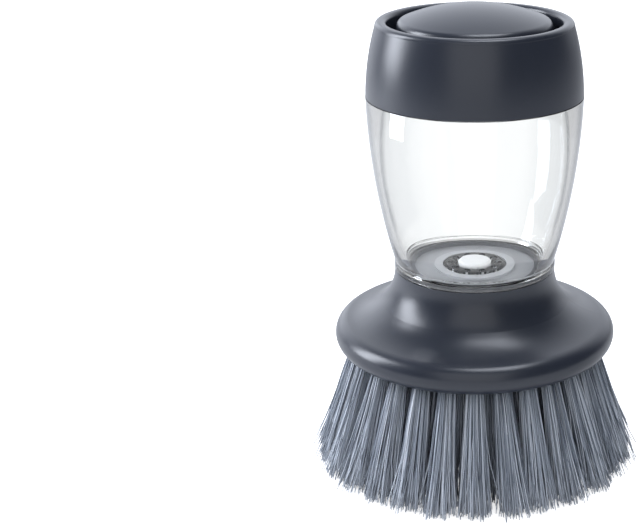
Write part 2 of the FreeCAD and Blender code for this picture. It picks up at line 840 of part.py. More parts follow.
def make_soap_spout():
    """The soft funnel that takes the nozzle and leads soap through the bristle plate."""
    body = new_body("soap_spout")
    barb_top = "plate_under - soft_gap"
    flange_under = "plate_top + soft_gap"
    flange_top = flange_under + " + spout_flange_thickness"
    cup_floor = "nozzle_tip - spout_cup_gap"
    cup_top = "funnel_end - spout_cup_gap"
    outside = "spout_cup_radius + spout_cup_wall"
    turned(body, "spout", [
        ("spout_bore", barb_top + " - spout_barb_thickness"),
        ("spout_radius", barb_top + " - spout_barb_thickness"),
        ("spout_radius + spout_barb", barb_top),
        ("spout_radius", barb_top),
        ("spout_radius", flange_under),
        ("spout_radius + spout_flange", flange_under),
        ("spout_radius + spout_flange", flange_top),
        (outside, flange_top),
        (outside, cup_top),
        ("spout_cup_radius", cup_top),
        ("spout_cup_radius", cup_floor),
        ("spout_bore", cup_floor + " - spout_cup_taper"),
    ])


def make_cap_shell():
    """The cap: a barrelled side, a flat rim round the button well, a web and an inside thread."""
    body = new_body("cap_shell")
    side_middle = f"cap_under + {cap_middle_share} * cap_side_height"
    rim_outer = (f"cap_shoulder_radius - (1 - {quarter_round_share}) * rim_round",
                 f"cap_shoulder + {quarter_round_share} * rim_round")
    rim_inner = (f"opening_radius + (1 - {quarter_round_share}) * rim_round",
                 f"rim_crest - (1 - {quarter_round_share}) * rim_round")
    lip_top = "flange_under - flange_gap"
    lip_middle = lip_top + " - retaining_lip_height / 2"
    turned(body, "cap", [
        ("cap_bore + cap_lead_in", "cap_under"),
        ("cap_base_radius", "cap_under"),
        via("cap_middle_radius", side_middle),
        ("cap_shoulder_radius", "cap_shoulder"),
        via(*rim_outer),
        ("cap_shoulder_radius - rim_round", "rim_crest"),
        ("opening_radius + rim_round", "rim_crest"),
        via(*rim_inner),
        ("opening_radius", "cap_shoulder"),
        ("opening_radius", "web_top"),
        ("piston_radius + web_clearance", "web_top"),
        ("piston_radius + web_clearance", "web_under"),
        ("cap_bore", "web_under"),
        ("cap_bore", lip_top),
        ("cap_bore - retaining_lip", lip_middle),
        ("cap_bore", lip_top + " - retaining_lip_height"),
        ("cap_bore", "cap_under + cap_lead_in"),
    ])
    crest = "neck_radius + thread_clearance"
    thread_ridge(body, "cap_thread", "cap_bore + root_sink", crest, interleave_angle)


def make_pump_cylinder():
    """The air cylinder: a flange under the cap's web, a bore and a ported floor."""
    body = new_body("pump_cylinder")
    stop_pocket = "stop_bore + stop_width + soft_gap"
    turned(body, "cylinder", [
        ("air_hole_radius", "chamber_under"),
        ("cylinder_radius", "chamber_under"),
        ("cylinder_radius", "flange_under"),
        ("cap_bore - flange_clearance", "flange_under"),
        ("cap_bore - flange_clearance", "flange_top"),
        (stop_pocket, "flange_top"),
        (stop_pocket, "stop_under"),
        ("cylinder_bore", "stop_under"),
        ("cylinder_bore", "chamber_floor"),
        ("air_hole_radius", "chamber_floor"),
    ])
    start = "chamber_floor + overrun"
    depth = "cylinder_floor + 2 * overrun"
    port_holes(body, "port", "air_port_circle", "air_port_radius", start, depth, "air_ports")


def make_piston():
    """The piston: an inverted cup with a ported crown above and a grooved land below."""
    body = new_body("piston")
    groove_radius = "piston_seal_circle - piston_groove_half"
    turned(body, "cup", [
        ("air_hole_radius", "crown_under"),
        ("piston_bore", "crown_under"),
        ("piston_bore", "piston_under"),
        ("land_radius", "piston_under"),
        ("land_radius", "piston_seal_middle - piston_groove_half"),
        (groove_radius, "piston_seal_middle - piston_groove_half"),
        (groove_radius, "piston_seal_middle + piston_groove_half"),
        ("land_radius", "piston_seal_middle + piston_groove_half"),
        ("land_radius", "land_top"),
        ("piston_radius", "land_top"),
        ("piston_radius", "crown_under"),
        ("crown_radius", "crown_under"),
        ("crown_radius", "crown_top"),
        ("air_hole_radius", "crown_top"),
    ])
    start = "crown_top + overrun"
    depth = "piston_crown + 2 * overrun"
    port_holes(body, "port", "air_port_circle", "air_port_radius", start, depth, "air_ports")


def make_push_button():
    """The domed button, hollow below, with a shelf that the piston's crown sits against."""
    body = new_body("push_button")

    def shoulder(shares):
        across = f"button_radius - (1 - {shares[0]}) * button_round"
        up = f"button_side_top + {shares[1]} * button_round"
        return across, up

    shelf = "crown_top + soft_gap"
    under_apex = "button_apex - button_wall"
    under_edge = "button_bore - button_shelf"
    under_edge_height = shelf + " + button_shelf_step"
    turned(body, "dome", [
        ("0", under_apex),
        dome(),
        (under_edge, under_edge_height),
        (under_edge, shelf),
        ("button_bore", shelf),
        ("button_bore", "button_under"),
        ("button_radius", "button_under"),
        ("button_radius", "button_side_top"),
        via(*shoulder(shoulder_shares[1])),
        shoulder(shoulder_shares[0]),
        dome(),
        ("0", "button_apex"),
    ])


def make_air_valve(label, under, top):
    """A silicone umbrella valve: a knob on top of a wall, a stem through it and a skirt below."""
    body = new_body(label)
    knob_top = top + " + air_knob_height"
    turned(body, "valve", [
        ("0", knob_top),
        ("0", under + " - air_skirt_depth"),
        ("air_stem_radius", under + " - air_skirt_depth"),
        ("air_skirt_radius", under + " - air_skirt_edge"),
        ("air_skirt_radius", under),
        ("air_stem_radius", under),
        ("air_stem_radius", top),
        ("air_knob_radius", top),
        ("air_stem_radius", knob_top),
    ])


def helix_point(circle, rise, angle):
    return Vector(circle * math.cos(angle), circle * math.sin(angle), rise * angle)


def helix_tangent(circle, rise, angle):
    return Vector(-circle * math.sin(angle), circle * math.cos(angle), rise).normalize()


def arc_from_tangent(start, tangent, finish):
    """The arc that leaves a point along a tangent and ends at another point."""
    chord = finish - start
    half_turn = tangent.getAngle(chord)
    corner = start + tangent * (chord.Length / (2 * math.cos(half_turn)))
    middle = (start + finish) / 2
    reach = math.tan(half_turn / 2) / math.tan(half_turn)
    return Part.Arc(start, middle + (corner - middle) * reach, finish)


def make_return_spring():
    """The coil spring: one round wire on a helix of paired arcs, a quarter turn to each pair."""
    wire = size("spring_wire")
    circle = size("spring_circle")
    turns = size("spring_turns")
    length = size("spring_length")
    rise = (length - 2 * wire) / (2 * math.pi * turns)
    quarters = round(4 * turns)
    step = 2 * math.pi * turns / quarters
    edges = []
    for quarter in range(quarters):
        start = helix_point(circle, rise, quarter * step)
        finish = helix_point(circle, rise, (quarter + 1) * step)
        leaving = helix_tangent(circle, rise, quarter * step)
        arriving = helix_tangent(circle, rise, (quarter + 1) * step)
        span = finish - start
        along = span.dot(leaving + arriving)
        bend = 2 * (1 - leaving.dot(arriving))
        reach = (math.sqrt(along ** 2 + bend * span.dot(span)) - along) / bend
        joint = (start + leaving * reach + finish - arriving * reach) / 2
        edges.append(arc_from_tangent(start, leaving, joint).toShape())
        edges.append(arc_from_tangent(finish, arriving * -1, joint).toShape())
    path = Part.Wire(Part.__sortEdges__(edges))
    first = Part.Wire(Part.makeCircle(wire, helix_point(circle, rise, 0), helix_tangent(circle, rise, 0)))
    spring = doc.addObject("Part::Feature", "return_spring")
    spring.Label = "return_spring"
    spring.Shape = path.makePipeShell([first], True, False)
    spring.Placement = Placement(Vector(0, 0, size("chamber_floor + soft_gap + spring_wire")), Rotation())
    parts.append(spring)
    fine_step = step / quarter_samples
    sample_count = quarter_samples * quarters + 1
    samples = [helix_point(circle, rise, fine_step * number) for number in range(sample_count)]
    half_turn = round(math.pi / fine_step)
    gaps = [
        one.distanceToPoint(other) - 2 * wire
        for number, one in enumerate(samples)
        for other in samples[number + half_turn:]
    ]
    print(f"return_spring: least gap between turns {min(gaps):.2f} mm")


make_head_shell()
make_bristle_plate()
make_soap_spout()
for row_name, row_number in tuft_rows.items():
    make_tufts(row_name, row_number)
    make_anchors(row_name, row_number)
make_reservoir()
ring_seal("head_seal", "seal_circle", "head_seal_wire", "seal_middle")
flat_ring(
    "base_seal",
    "floor_radius - base_seal_inset - base_seal_width",
    "floor_radius - base_seal_inset",
    "floor_seat",
    "base_under",
)
make_base_plate()
flat_ring("floor_ring", "base_radius - floor_ring_width", "base_radius", "base_top", "floor_edge")
make_valve_seat()
flat_ring(
    "seat_retainer",
    "retainer_bore",
    "retainer_bore + retainer_width",
    "base_top",
    "base_top + retainer_height",
)
make_outlet_valve()
flat_ring(
    "cap_gasket",
    "mouth_radius + gasket_inset",
    "neck_radius - gasket_inset",
    "gasket_under",
    "gasket_under + gasket_thickness",
)
make_cap_shell()
make_pump_cylinder()
flat_ring("stop_ring", "stop_bore", "stop_bore + stop_width", "stop_under", "stop_under + stop_thickness")
make_air_valve("delivery_valve", "chamber_under", "chamber_floor")
make_return_spring()
make_push_button()
make_piston()
ring_seal("piston_seal", "piston_seal_circle", "piston_seal_wire", "piston_seal_middle")
make_air_valve("intake_valve", "crown_under", "crown_top")
doc.recompute()

for item in doc.Objects:
    if "Invalid" in item.State or "Error" in item.State:
        raise RuntimeError(f"{item.Label} failed to rebuild")
for part in parts:
    if part.Shape.isNull() or not part.Shape.isValid():
        raise RuntimeError(f"{part.Label} has no valid shape")

os.makedirs("parts", exist_ok=True)
for part in parts:
    part.Shape.exportStep(f"parts/{part.Label}.step")
    box = part.Shape.BoundBox
    print(f"{part.Label}: {len(part.Shape.Solids)} solids, {part.Shape.Volume:.1f} mm3, "
          f"Z {box.ZMin:.2f} to {box.ZMax:.2f}, radius {box.XMax:.2f}")
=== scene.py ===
import math

import bpy
import numpy as np
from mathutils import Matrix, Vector


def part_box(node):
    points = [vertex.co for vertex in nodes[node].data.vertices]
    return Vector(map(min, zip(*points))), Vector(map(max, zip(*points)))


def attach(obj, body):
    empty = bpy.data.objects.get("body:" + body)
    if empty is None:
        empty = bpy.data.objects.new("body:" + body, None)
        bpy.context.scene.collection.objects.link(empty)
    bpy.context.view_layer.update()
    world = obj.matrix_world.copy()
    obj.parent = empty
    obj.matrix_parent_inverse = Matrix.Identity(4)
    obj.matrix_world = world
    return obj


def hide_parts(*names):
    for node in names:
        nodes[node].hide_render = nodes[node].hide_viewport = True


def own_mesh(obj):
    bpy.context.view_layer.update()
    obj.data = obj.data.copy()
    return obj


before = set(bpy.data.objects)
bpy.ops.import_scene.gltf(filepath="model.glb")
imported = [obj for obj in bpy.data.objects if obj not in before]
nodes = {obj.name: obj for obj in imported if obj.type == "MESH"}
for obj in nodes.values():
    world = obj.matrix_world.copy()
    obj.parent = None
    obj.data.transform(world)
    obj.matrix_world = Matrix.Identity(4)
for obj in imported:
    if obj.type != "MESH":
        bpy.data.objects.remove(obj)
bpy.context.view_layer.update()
scene = bpy.context.scene
mm = 0.001
print("frame:", len(nodes), "nodes")


def linear(hexColour):
    # sRGB hex to the linear colour that a shader takes
    channels = [int(hexColour[i:i + 2], 16) / 255 for i in (1, 3, 5)]
    return [c / 12.92 if c <= 0.04045 else ((c + 0.055) / 1.055) ** 2.4 for c in channels] + [1.0]


def addNode(tree, kind, settings={}, inputs={}):
    # an input takes a value, or a (node, output) pair to link; sockets that share a name go by number
    node = tree.nodes.new(kind)
    for name, value in settings.items():
        setattr(node, name, value)
    for name, value in inputs.items():
        if isinstance(value, tuple):
            tree.links.new(value[0].outputs[value[1]], node.inputs[name])
        else:
            node.inputs[name].default_value = value
    return node


def newTree(owner):
    owner.use_nodes = True
    owner.node_tree.nodes.clear()
    return owner.node_tree


def perMetre(sizeMm):
    # texture scale that repeats about once in this many millimetres
    return 1 / (sizeMm * mm)


def setRamp(node, stops):
    # stops are pairs of a place on the ramp and a hex colour, in rising order
    elements = node.color_ramp.elements
    for at, tone in stops[1:-1]:
        elements.new(at)
    for element, (at, tone) in zip(elements, stops):
        element.position, element.color = at, linear(tone)


noiseDetail = {"clouds": 3.0, "grain": 2.0, "waves": 0.0, "mottle": 4.0}


# Moulded plastics

def mouldedPlastic(name, look):
    # two close tones in slow clouds, a fine mould grain, and a roughness that drifts a little
    material = bpy.data.materials.new(name)
    tree = newTree(material)
    place = addNode(tree, "ShaderNodeTexCoord")
    clouds = addNode(tree, "ShaderNodeTexNoise", {}, {
        "Vector": (place, "Object"), "Scale": perMetre(look["cloudMm"]), "Detail": noiseDetail["clouds"]})
    grain = addNode(tree, "ShaderNodeTexNoise", {}, {
        "Vector": (place, "Object"), "Scale": perMetre(look["grainMm"]), "Detail": noiseDetail["grain"]})
    tone = addNode(tree, "ShaderNodeMix", {"data_type": "RGBA"}, {
        "Factor": (clouds, "Fac"), 6: linear(look["dark"]), 7: linear(look["light"])})
    drift = addNode(tree, "ShaderNodeMapRange", {}, {
        "Value": (clouds, "Fac"), "To Min": look["rough"][0], "To Max": look["rough"][1]})
    relief = addNode(tree, "ShaderNodeBump", {}, {
        "Height": (grain, "Fac"), "Strength": look["grainStrength"], "Distance": look["grainDepthMm"] * mm})
    shader = addNode(tree, "ShaderNodeBsdfPrincipled", {}, {
        "Base Color": (tone, 2), "Roughness": (drift, "Result"), "Normal": (relief, "Normal"),
        "IOR": look["ior"]})
    addNode(tree, "ShaderNodeOutputMaterial", {}, {"Surface": (shader, "BSDF")})
    return material


# Satin ABS from a spark-eroded mould, its grain drawn at twice the size: dark slate, broad soft highlights
slateAbs = mouldedPlastic("moulded_satin_abs", {
    "dark": "#22262f", "light": "#272b35", "cloudMm": 18, "rough": (0.29, 0.33),
    "grainMm": 0.4, "grainStrength": 0.25, "grainDepthMm": 0.02, "ior": 1.53})

# Black polypropylene, moulded plain: the bristle plate, dull and deep
plateBlackPp = mouldedPlastic("moulded_black_pp", {
    "dark": "#1c1f25", "light": "#24272e", "cloudMm": 10, "rough": (0.45, 0.55),
    "grainMm": 0.5, "grainStrength": 0.3, "grainDepthMm": 0.03, "ior": 1.49})

# Grey polypropylene: the tank's floor, even and slightly waxy
floorGreyPp = mouldedPlastic("moulded_grey_pp", {
    "dark": "#a3a5aa", "light": "#adafb4", "cloudMm": 8, "rough": (0.38, 0.46),
    "grainMm": 0.5, "grainStrength": 0.2, "grainDepthMm": 0.02, "ior": 1.49})

# Light grey polypropylene: the ring that holds the valve seat
retainerPp = mouldedPlastic("moulded_light_grey_pp", {
    "dark": "#b9bbc0", "light": "#c4c6ca", "cloudMm": 6, "rough": (0.34, 0.42),
    "grainMm": 0.5, "grainStrength": 0.2, "grainDepthMm": 0.02, "ior": 1.49})

# Dark grey and dull: the ring round the tank's floor, its tone a painted shade for the shaded wall of the
# floor's step
floorRingShade = mouldedPlastic("dark_grey_painted_shade", {
    "dark": "#4f5156", "light": "#585a5f", "cloudMm": 5, "rough": (0.50, 0.60),
    "grainMm": 0.4, "grainStrength": 0.2, "grainDepthMm": 0.02, "ior": 1.50})

# Natural polypropylene: milky pump parts with a soft shine
pumpNaturalPp = mouldedPlastic("moulded_natural_pp", {
    "dark": "#dcddda", "light": "#e8e9e6", "cloudMm": 8, "rough": (0.32, 0.40),
    "grainMm": 0.5, "grainStrength": 0.2, "grainDepthMm": 0.02, "ior": 1.49})

# White liquid silicone rubber, moulded: matt and slightly dusty
whiteSilicone = mouldedPlastic("moulded_white_silicone", {
    "dark": "#eeeff0", "light": "#f5f6f7", "cloudMm": 5, "rough": (0.48, 0.58),
    "grainMm": 0.4, "grainStrength": 0.2, "grainDepthMm": 0.02, "ior": 1.41})

# Black nitrile rubber, moulded rings: matt, with a dull edge light
sealNitrile = mouldedPlastic("moulded_black_nitrile", {
    "dark": "#141517", "light": "#1d1e21", "cloudMm": 4, "rough": (0.55, 0.68),
    "grainMm": 0.3, "grainStrength": 0.3, "grainDepthMm": 0.03, "ior": 1.52})

# Grey silicone, moulded: the soap spout, matt and soft
spoutSilicone = mouldedPlastic("moulded_grey_silicone", {
    "dark": "#6b7078", "light": "#787d85", "cloudMm": 5, "rough": (0.48, 0.58),
    "grainMm": 0.4, "grainStrength": 0.2, "grainDepthMm": 0.02, "ior": 1.41})


# Clear SAN, moulded in a polished tool: glassy, with the faintest flow waves
# the shades run from the clear wall to the painted shade of its edges
clearSanLook = {
    "paintedEdgeShades": ((0.16, "#fcfdfd"), (0.32, "#eceeef"), (0.66, "#e6e8e9"), (0.79, "#66696c")), "shadeMm": (54, 64),
    "waveMm": 16, "waveStrength": 0.1, "waveDepthMm": 0.03, "rough": 0.015, "ior": 1.57}
clearSan = bpy.data.materials.new("moulded_clear_san")
tree = newTree(clearSan)
place = addNode(tree, "ShaderNodeTexCoord")
waves = addNode(tree, "ShaderNodeTexNoise", {}, {
    "Vector": (place, "Object"), "Scale": perMetre(clearSanLook["waveMm"]), "Detail": noiseDetail["waves"]})
relief = addNode(tree, "ShaderNodeBump", {}, {
    "Height": (waves, "Fac"), "Strength": clearSanLook["waveStrength"],
    "Distance": clearSanLook["waveDepthMm"] * mm})
# painted shade: the barrel's wall is painted grey where it is seen more edge on, which draws the dark outline
# of its edges; the thick foot and the seat stay clear
glance = addNode(tree, "ShaderNodeLayerWeight")
split = addNode(tree, "ShaderNodeSeparateXYZ", {}, {"Vector": (place, "Object")})
shadeFrom, shadeTo = [height * mm for height in clearSanLook["shadeMm"]]
barrel = addNode(tree, "ShaderNodeMapRange", {"interpolation_type": "SMOOTHSTEP"}, {
    "Value": (split, "Z"), "From Min": shadeFrom, "From Max": shadeTo})
edgeShadeMask = addNode(tree, "ShaderNodeMath", {"operation": "MULTIPLY"}, {
    0: (glance, "Facing"), 1: (barrel, "Result")})
tint = addNode(tree, "ShaderNodeValToRGB", {}, {"Fac": (edgeShadeMask, 0)})
setRamp(tint, clearSanLook["paintedEdgeShades"])
shader = addNode(tree, "ShaderNodeBsdfPrincipled", {}, {
    "Base Color": (tint, "Color"), "Roughness": clearSanLook["rough"], "IOR": clearSanLook["ior"],
    "Transmission Weight": 1.0, "Normal": (relief, "Normal")})
addNode(tree, "ShaderNodeOutputMaterial", {}, {"Surface": (shader, "BSDF")})


# Metals

def metal(name, look):
    # two close tones in a fine mottle, and a roughness that follows it
    material = bpy.data.materials.new(name)
    tree = newTree(material)
    place = addNode(tree, "ShaderNodeTexCoord")
    mottle = addNode(tree, "ShaderNodeTexNoise", {}, {
        "Vector": (place, "Object"), "Scale": perMetre(look["mottleMm"]), "Detail": noiseDetail["mottle"]})
    tone = addNode(tree, "ShaderNodeMix", {"data_type": "RGBA"}, {
        "Factor": (mottle, "Fac"), 6: linear(look["dark"]), 7: linear(look["light"])})
    drift = addNode(tree, "ShaderNodeMapRange", {}, {
        "Value": (mottle, "Fac"), "To Min": look["rough"][0], "To Max": look["rough"][1]})
    shader = addNode(tree, "ShaderNodeBsdfPrincipled", {}, {
        "Base Color": (tone, 2), "Roughness": (drift, "Result"), "Metallic": 1.0})
    addNode(tree, "ShaderNodeOutputMaterial", {}, {"Surface": (shader, "BSDF")})
    return material


# Drawn stainless spring wire: bright, with a slight dull mottle
springSteel = metal("drawn_stainless_wire", {
    "dark": "#a9aaab", "light": "#cfd0d0", "rough": (0.22, 0.36), "mottleMm": 0.5})

# Rolled brass strip: the tufts' anchors, yellow and half bright
anchorBrass = metal("rolled_brass_strip", {
    "dark": "#b08c48", "light": "#d0ad62", "rough": (0.28, 0.42), "mottleMm": 0.6})


# Drawn nylon monofilament: each hair its own grey, with a slim gloss along it
filamentLook = {
    "tones": ((0.0, "#5d6470"), (0.5, "#9ca4af"), (1.0, "#d8dde4")),
    "tipTone": "#d8dde4", "tipShare": 0.3, "tipMm": 10, "rough": 0.32, "ior": 1.53}
nylonFilament = bpy.data.materials.new("drawn_nylon_filament")
tree = newTree(nylonFilament)
hair = addNode(tree, "ShaderNodeNewGeometry")
tones = addNode(tree, "ShaderNodeValToRGB", {}, {"Fac": (hair, "Random Per Island")})
setRamp(tones, filamentLook["tones"])
# the hairs turn paler towards their cut ends
place = addNode(tree, "ShaderNodeTexCoord")
split = addNode(tree, "ShaderNodeSeparateXYZ", {}, {"Vector": (place, "Object")})
tipPaling = addNode(tree, "ShaderNodeMapRange", {}, {
    "Value": (split, "Z"), "From Min": 0.0, "From Max": filamentLook["tipMm"] * mm,
    "To Min": filamentLook["tipShare"], "To Max": 0.0})
paler = addNode(tree, "ShaderNodeMix", {"data_type": "RGBA"}, {
    "Factor": (tipPaling, "Result"), 6: (tones, "Color"), 7: linear(filamentLook["tipTone"])})
shader = addNode(tree, "ShaderNodeBsdfPrincipled", {}, {
    "Base Color": (paler, 2), "Roughness": filamentLook["rough"], "IOR": filamentLook["ior"]})
addNode(tree, "ShaderNodeOutputMaterial", {}, {"Surface": (shader, "BSDF")})
print("materials:", len(bpy.data.materials))


# Finishes of the CAD nodes that stay

finishes = {
    "head_shell": slateAbs, "cap_shell": slateAbs, "push_button": slateAbs,
    "bristle_plate": plateBlackPp, "soap_spout": spoutSilicone,
    "reservoir": clearSan, "valve_seat": clearSan,
    "base_plate": floorGreyPp, "seat_retainer": retainerPp, "floor_ring": floorRingShade,
    "outlet_valve": whiteSilicone, "intake_valve": whiteSilicone, "delivery_valve": whiteSilicone,
    "head_seal": sealNitrile, "base_seal": sealNitrile, "cap_gasket": sealNitrile, "piston_seal": sealNitrile,
    "pump_cylinder": pumpNaturalPp, "stop_ring": pumpNaturalPp, "piston": pumpNaturalPp,
    "anchors_outer": anchorBrass, "anchors_second": anchorBrass,
    "anchors_third": anchorBrass, "anchors_inner": anchorBrass,
}
for name, material in finishes.items():
    mesh = nodes[name].data
    mesh.materials.clear()
    mesh.materials.append(material)
print("finishes:", len(finishes))


# Filament tufts

# lengths in millimetres, strandTurn in degrees; strandRadius, scatter, tipTaper and the fans are shares
tuftShape = {
    "rootRadius": 2.1, "tipRadius": 3.7, "socketDepth": 0.8, "filamentRadius": 0.15, "tipTaper": 0.75,
    "strands": 7, "strandTurn": 10.0, "strandRadius": 0.325, "reachScatter": 0.02, "turnScatter": 0.2,
    "rings": 5, "ringCrowding": 1.5, "sides": 3, "ragged": 2.6, "raggedSpread": (1.3, 2.4),
    "bow": 0.2, "lean": 0.5, "fan": (1.08, 1.34), "fanOut": 1.08,
    "fray": 0.65, "frayTail": 3, "frayLimit": 5, "frayPower": 3, "stray": 1.5, "seed": 21}
tuftRows = {
    "tufts_outer": {"count": 28, "tipCircle": 38.7, "splay": 9.2, "filaments": 260},
    "tufts_second": {"count": 22, "tipCircle": 30.6, "splay": 7.4, "filaments": 180},
    "tufts_third": {"count": 16, "tipCircle": 22.5, "splay": 5.6, "filaments": 150},
    "tufts_inner": {"count": 10, "tipCircle": 14.4, "splay": 3.8, "filaments": 150},
}
random = np.random.default_rng(tuftShape["seed"])
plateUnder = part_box("bristle_plate")[0][2] / mm


def tubeFaces(rings, sides, tubes):
    # side quads and both end caps of many tubes, each ring's points in order
    quads = []
    for ring in range(rings - 1):
        for side in range(sides):
            here, after = ring * sides + side, ring * sides + (side + 1) % sides
            quads.append((here, here + sides, after + sides, after))
    ends = [tuple(range(sides)), tuple((rings - 1) * sides + side for side in reversed(range(sides)))]
    starts = (np.arange(tubes) * rings * sides).tolist()
    return [tuple(start + corner for corner in face) for start in starts for face in quads + ends]


def meshPiece(name, points, faces, material):
    mesh = bpy.data.meshes.new(name)
    mesh.from_pydata(points.reshape(-1, 3).tolist(), [], faces)
    mesh.polygons.foreach_set("use_smooth", [True] * len(mesh.polygons))
    mesh.materials.append(material)
    piece = bpy.data.objects.new(name, mesh)
    scene.collection.objects.link(piece)
    return piece


def filamentRow(nodeName, row):
    tipCircle = row["tipCircle"]
    rootCircle = tipCircle - row["splay"]
    rootRadius, tipRadius = tuftShape["rootRadius"], tuftShape["tipRadius"]
    count, hairs, sides = row["count"], row["filaments"], tuftShape["sides"]
    shape = (count, hairs)
    # hairs fill the bundle evenly, in a sunflower pattern drawn in to the strands' outline
    order = np.arange(hairs) + 0.5
    reach = np.sqrt(order / hairs)[None] + random.normal(0, tuftShape["reachScatter"], shape)
    turn = (order * math.pi * (3 - math.sqrt(5)))[None] + random.normal(0, tuftShape["turnScatter"], shape)
    pitch = 2 * math.pi / tuftShape["strands"]
    off = (turn - math.radians(tuftShape["strandTurn"])) % pitch - pitch / 2
    middle, strand = 1 - tuftShape["strandRadius"], tuftShape["strandRadius"]
    reach = reach * (middle * np.cos(off) + np.sqrt(strand ** 2 - (middle * np.sin(off)) ** 2))
    across, aside = reach * np.cos(turn), reach * np.sin(turn)
    fan = random.uniform(*tuftShape["fan"], (count, 1))
    lean = random.normal(0, tuftShape["lean"], (2, count, 1))[..., None]
    # most hairs stay in the tuft, a few stray far
    fray = random.standard_t(tuftShape["frayTail"], (2,) + shape)[..., None]
    fray = tuftShape["fray"] * np.clip(fray, -tuftShape["frayLimit"], tuftShape["frayLimit"])
    bow = random.normal(0, tuftShape["bow"], (2,) + shape)[..., None]
    tipHeight = tuftShape["ragged"] * random.beta(*tuftShape["raggedSpread"], shape)
    # run goes from root to tip, with closer rings towards the tip
    run = (1 - (1 - np.linspace(0, 1, tuftShape["rings"])) ** tuftShape["ringCrowding"])[None, None]
    rootTop = plateUnder + tuftShape["socketDepth"]
    height = rootTop + (tipHeight[..., None] - rootTop) * run
    spread = rootRadius + (tipRadius * tuftShape["fanOut"] - rootRadius) * run
    wide = rootRadius + (tipRadius * fan[..., None] - rootRadius) * run
    straight = (rootCircle + row["splay"] * run + across[..., None] * spread, aside[..., None] * wide)
    # lean grows evenly along a hair, bow is most at its middle, and fray opens at its tip
    out, side = [
        base + lean[way] * run + bow[way] * 4 * run * (1 - run) + fray[way] * run ** tuftShape["frayPower"]
        for way, base in enumerate(straight)]
    limit = tipCircle + tipRadius + tuftShape["stray"] - tuftShape["filamentRadius"]
    out = np.minimum(out, limit)
    angle = (np.arange(count) * 2 * math.pi / count)[:, None, None]
    centre = np.stack([
        out * np.cos(angle) - side * np.sin(angle),
        out * np.sin(angle) + side * np.cos(angle), height], -1)
    # a three-sided section, turned by chance, in the level plane
    radius = tuftShape["filamentRadius"] * (1 - (1 - tuftShape["tipTaper"]) * run)
    corner = random.uniform(0, math.pi, shape)[..., None, None] + np.arange(sides) * 2 * math.pi / sides
    ring = np.stack([np.cos(corner), np.sin(corner), np.zeros_like(corner)], -1)
    points = (centre[..., None, :] + ring * radius[..., None, None]) * mm
    faces = tubeFaces(tuftShape["rings"], sides, count * hairs)
    piece = meshPiece(nodeName.replace("tufts", "filaments"), points, faces, nylonFilament)
    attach(piece, "head")
    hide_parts(nodeName)
    print(nodeName, count * hairs, "filaments", len(faces), "faces")


for nodeName, row in tuftRows.items():
    filamentRow(nodeName, row)


# Return spring

springShape = {"wireRadius": 0.6, "turns": 5.5, "stepsPerTurn": 40, "sides": 10, "stroke": 5.0}
springLow, springHigh = [np.array(corner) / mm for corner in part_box("return_spring")]
wireRadius, sides = springShape["wireRadius"], springShape["sides"]
steps = round(springShape["turns"] * springShape["stepsPerTurn"]) + 1
turn = np.linspace(0, 2 * math.pi * springShape["turns"], steps)
circle = springHigh[0] - wireRadius
rise = np.linspace(springLow[2] + wireRadius, springHigh[2] - wireRadius, steps)
line = np.stack([circle * np.cos(turn), circle * np.sin(turn), rise], -1)
outward = np.stack([np.cos(turn), np.sin(turn), np.zeros(steps)], -1)
tangent = np.gradient(line, axis=0)
tangent /= np.linalg.norm(tangent, axis=1, keepdims=True)
upward = np.cross(outward, tangent)
corner = np.arange(sides) * 2 * math.pi / sides
ring = outward[:, None] * np.cos(corner)[None, :, None] + upward[:, None] * np.sin(corner)[None, :, None]
points = (line[:, None] + ring * wireRadius) * mm
spring = meshPiece("coil_spring", points, tubeFaces(steps, sides, 1), springSteel)
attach(spring, "cap")
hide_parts("return_spring")
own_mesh(spring)
print("spring:", steps, "steps")


# Floor

floorLook = {
    "size": 8.0, "drop": 0.0001, "colour": "#e9e9e9", "lift": 0.72, "through": 1.1, "wallShare": 0.65}


def paintedWallShade(tree, path):
    # painted shade: each turn that a ray takes inside the tank's wall dims what it sees behind, which draws the
    # wall's edge darker
    return addNode(tree, "ShaderNodeMath", {"operation": "POWER"}, {
        0: floorLook["wallShare"], 1: (path, "Glossy Depth")})


floorMesh = bpy.data.meshes.new("floor")
half = floorLook["size"] / 2
floorCorners = [(-half, -half, 0), (half, -half, 0), (half, half, 0), (-half, half, 0)]
floorMesh.from_pydata(floorCorners, [], [(0, 1, 2, 3)])
floor = bpy.data.objects.new("floor", floorMesh)
floor.location.z = -floorLook["drop"]
scene.collection.objects.link(floor)
# white paper: the camera sees it lifted to white, and the shadow stays
paper = bpy.data.materials.new("white_paper")
tree = newTree(paper)
path = addNode(tree, "ShaderNodeLightPath")
face = addNode(tree, "ShaderNodeNewGeometry")
sheet = addNode(tree, "ShaderNodeBsdfDiffuse", {}, {"Color": linear(floorLook["colour"])})
seen = addNode(tree, "ShaderNodeMath", {"operation": "MULTIPLY"}, {
    0: (path, "Is Camera Ray"), 1: floorLook["lift"]})
glow = addNode(tree, "ShaderNodeEmission", {}, {"Strength": (seen, 0)})
lifted = addNode(tree, "ShaderNodeAddShader", {}, {0: (sheet, 0), 1: (glow, 0)})
# painted shade: the paper seen through the tank dims with each turn inside its wall
wall = paintedWallShade(tree, path)
through = addNode(tree, "ShaderNodeMath", {"operation": "MULTIPLY"}, {
    0: (wall, 0), 1: floorLook["through"]})
behind = addNode(tree, "ShaderNodeEmission", {}, {"Strength": (through, 0)})
upper = addNode(tree, "ShaderNodeMixShader", {}, {
    0: (path, "Is Transmission Ray"), 1: (lifted, 0), 2: (behind, 0)})
clear = addNode(tree, "ShaderNodeBsdfTransparent")
oneSided = addNode(tree, "ShaderNodeMixShader", {}, {0: (face, "Backfacing"), 1: (upper, 0), 2: (clear, 0)})
addNode(tree, "ShaderNodeOutputMaterial", {}, {"Surface": (oneSided, 0)})
floorMesh.materials.append(paper)


# World: a white backdrop behind, a dim room in front

